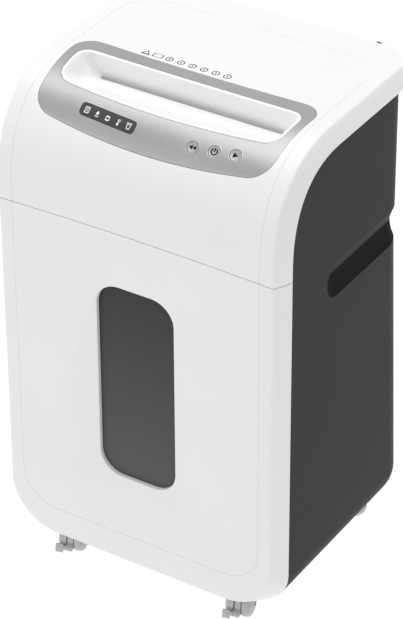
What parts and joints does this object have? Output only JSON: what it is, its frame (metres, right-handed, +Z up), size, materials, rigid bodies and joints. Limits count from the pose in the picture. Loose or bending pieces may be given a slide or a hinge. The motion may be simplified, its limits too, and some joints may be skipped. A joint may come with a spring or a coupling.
{
  "type": "paper shredder",
  "caption": "Floor-standing paper shredder with an arched lid, a feed slot, a pull-out bin with a smoked window, and swivel casters with brakes.",
  "frame": {"origin": "centre of the footprint, on the floor below the casters", "axes": "+Z up; the bin front and its window face -Y; +X is on the right of a person who faces the front"},
  "size_m": [0.3552, 0.295, 0.5906],
  "materials": {
    "dark_panel": "fine-textured charcoal ABS",
    "bronze": "sintered bronze",
    "bin_plastic": "dark grey polypropylene",
    "caster_plastic": "grey nylon",
    "steel": "machined steel",
    "circuit_board": "green fibreglass board",
    "silver_trim": "metallic silver paint on ABS",
    "black_plastic": "black moulded plastic",
    "zinc_plate": "zinc-plated sheet steel",
    "white_shell": "satin white ABS",
    "smoked_window": "dark smoked polycarbonate",
    "nylon_gear": "natural nylon",
    "button": "satin silver",
    "lens": "dark smoked acrylic"
  },
  "bodies": {
    "cabinet": {"back_panel": "dark_panel", "base_plate": "dark_panel", "bearing_left_front": "bronze", "bearing_left_rear": "bronze", "bearing_right_front": "bronze", "bearing_right_rear": "bronze", "circuit_board": "circuit_board", "control_trim": "silver_trim", "cord_inlet": "black_plastic", "cutter_frame_left": "zinc_plate", "cutter_frame_right": "zinc_plate", "drawer_sensor": "black_plastic", "feed_throat": "white_shell", "glide_rail_left": "nylon_gear", "glide_rail_right": "nylon_gear", "grip_inlay_left": "black_plastic", "grip_inlay_right": "black_plastic", "head_cover": "white_shell", "head_tray": "black_plastic", "indicator_lens": "lens", "motor_body": "zinc_plate", "side_panel_left": "dark_panel", "side_panel_right": "dark_panel", "stripper_comb_front": "nylon_gear", "stripper_comb_rear": "nylon_gear", "switch_frame": "black_plastic", "tie_rod_front": "steel", "tie_rod_rear": "steel"},
    "bin_drawer": {"drawer_front": "white_shell", "drawer_window": "smoked_window", "bin": "bin_plastic"},
    "reverse_button": {"reverse_button": "button"},
    "power_button": {"power_button": "button"},
    "forward_button": {"forward_button": "button"},
    "rocker": {"mains_rocker": "black_plastic"},
    "cutter_front": {"cutter_shaft_front": "steel", "sync_gear_front": "steel"},
    "cutter_rear": {"cutter_shaft_rear": "steel", "sync_gear_rear": "steel", "drive_gear": "nylon_gear"},
    "reduction": {"reduction_gear": "nylon_gear"},
    "motor_rotor": {"motor_shaft": "steel"},
    "caster_front_left": {"caster_hood_front_left": "caster_plastic", "caster_axle_front_left": "steel"},
    "wheel_a_front_left": {"caster_wheel_a_front_left": "caster_plastic"},
    "wheel_b_front_left": {"caster_wheel_b_front_left": "caster_plastic"},
    "caster_front_right": {"caster_hood_front_right": "caster_plastic", "caster_axle_front_right": "steel"},
    "wheel_a_front_right": {"caster_wheel_a_front_right": "caster_plastic"},
    "wheel_b_front_right": {"caster_wheel_b_front_right": "caster_plastic"},
    "caster_rear_left": {"caster_hood_rear_left": "caster_plastic", "caster_axle_rear_left": "steel"},
    "wheel_a_rear_left": {"caster_wheel_a_rear_left": "caster_plastic"},
    "wheel_b_rear_left": {"caster_wheel_b_rear_left": "caster_plastic"},
    "caster_rear_right": {"caster_hood_rear_right": "caster_plastic", "caster_axle_rear_right": "steel"},
    "wheel_a_rear_right": {"caster_wheel_a_rear_right": "caster_plastic"},
    "wheel_b_rear_right": {"caster_wheel_b_rear_right": "caster_plastic"},
    "pedal_front_left": {"brake_pedal_front_left": "caster_plastic"},
    "pedal_front_right": {"brake_pedal_front_right": "caster_plastic"}
  },
  "joints": [
    {"name": "drawer_slide", "type": "slide", "parent": "cabinet", "child": "bin_drawer", "axis": [0, -1, 0], "range_m": [0, 0.24]},
    {"name": "reverse_button_press", "type": "slide", "parent": "cabinet", "child": "reverse_button", "axis": [0, 0.6465, -0.7629], "range_m": [0, 0.0012], "stiffness_N_per_m": 400},
    {"name": "power_button_press", "type": "slide", "parent": "cabinet", "child": "power_button", "axis": [0, 0.6283, -0.778], "range_m": [0, 0.0012], "stiffness_N_per_m": 400},
    {"name": "forward_button_press", "type": "slide", "parent": "cabinet", "child": "forward_button", "axis": [0, 0.6035, -0.7974], "range_m": [0, 0.0012], "stiffness_N_per_m": 400},
    {"name": "rocker_tilt", "type": "hinge", "parent": "cabinet", "child": "rocker", "pos_m": [-0.055, 0.1116, 0.54633], "axis": [0, 0, 1], "range_deg": [-12, 0]},
    {"name": "cutter_front_spin", "type": "hinge", "parent": "cabinet", "child": "cutter_front", "pos_m": [0, -0.05432, 0.517], "axis": [1, 0, 0], "continuous": true},
    {"name": "cutter_rear_spin", "type": "hinge", "parent": "cabinet", "child": "cutter_rear", "pos_m": [0, -0.01832, 0.517], "axis": [1, 0, 0], "continuous": true},
    {"name": "reduction_spin", "type": "hinge", "parent": "cabinet", "child": "reduction", "pos_m": [0, 0.0121, 0.50885], "axis": [1, 0, 0], "continuous": true},
    {"name": "motor_spin", "type": "hinge", "parent": "cabinet", "child": "motor_rotor", "pos_m": [0, 0.04448, 0.50601], "axis": [1, 0, 0], "continuous": true},
    {"name": "caster_swivel_front_left", "type": "hinge", "parent": "cabinet", "child": "caster_front_left", "pos_m": [-0.11, -0.10554, 0.037], "axis": [0, 0, 1], "continuous": true},
    {"name": "wheel_a_spin_front_left", "type": "hinge", "parent": "caster_front_left", "child": "wheel_a_front_left", "pos_m": [-0.10638, -0.11907, 0.016], "axis": [0.9659, 0.2588, 0], "continuous": true},
    {"name": "wheel_b_spin_front_left", "type": "hinge", "parent": "caster_front_left", "child": "wheel_b_front_left", "pos_m": [-0.10638, -0.11907, 0.016], "axis": [0.9659, 0.2588, 0], "continuous": true},
    {"name": "brake_pedal_tilt_front_left", "type": "hinge", "parent": "caster_front_left", "child": "pedal_front_left", "pos_m": [-0.10146, -0.13742, 0.0118], "axis": [0.9659, 0.2588, 0], "range_deg": [0, 12]},
    {"name": "caster_swivel_front_right", "type": "hinge", "parent": "cabinet", "child": "caster_front_right", "pos_m": [0.11, -0.10554, 0.037], "axis": [0, 0, 1], "continuous": true},
    {"name": "wheel_a_spin_front_right", "type": "hinge", "parent": "caster_front_right", "child": "wheel_a_front_right", "pos_m": [0.11362, -0.11907, 0.016], "axis": [0.9659, 0.2588, 0], "continuous": true},
    {"name": "wheel_b_spin_front_right", "type": "hinge", "parent": "caster_front_right", "child": "wheel_b_front_right", "pos_m": [0.11362, -0.11907, 0.016], "axis": [0.9659, 0.2588, 0], "continuous": true},
    {"name": "brake_pedal_tilt_front_right", "type": "hinge", "parent": "caster_front_right", "child": "pedal_front_right", "pos_m": [0.11854, -0.13742, 0.0118], "axis": [0.9659, 0.2588, 0], "range_deg": [0, 12]},
    {"name": "caster_swivel_rear_left", "type": "hinge", "parent": "cabinet", "child": "caster_rear_left", "pos_m": [-0.114, 0.09746, 0.037], "axis": [0, 0, 1], "continuous": true},
    {"name": "wheel_a_spin_rear_left", "type": "hinge", "parent": "caster_rear_left", "child": "wheel_a_rear_left", "pos_m": [-0.10188, 0.10446, 0.016], "axis": [-0.5, 0.866, 0], "continuous": true},
    {"name": "wheel_b_spin_rear_left", "type": "hinge", "parent": "caster_rear_left", "child": "wheel_b_rear_left", "pos_m": [-0.10188, 0.10446, 0.016], "axis": [-0.5, 0.866, 0], "continuous": true},
    {"name": "caster_swivel_rear_right", "type": "hinge", "parent": "cabinet", "child": "caster_rear_right", "pos_m": [0.114, 0.09746, 0.037], "axis": [0, 0, 1], "continuous": true},
    {"name": "wheel_a_spin_rear_right", "type": "hinge", "parent": "caster_rear_right", "child": "wheel_a_rear_right", "pos_m": [0.12612, 0.10446, 0.016], "axis": [-0.5, 0.866, 0], "continuous": true},
    {"name": "wheel_b_spin_rear_right", "type": "hinge", "parent": "caster_rear_right", "child": "wheel_b_rear_right", "pos_m": [0.12612, 0.10446, 0.016], "axis": [-0.5, 0.866, 0], "continuous": true}
  ],
  "couplings": [
    {"joint": "cutter_rear_spin", "follows": "cutter_front_spin", "ratio": -1},
    {"joint": "reduction_spin", "follows": "cutter_front_spin", "ratio": 2.5},
    {"joint": "motor_spin", "follows": "cutter_front_spin", "ratio": -8.3333}
  ]
}
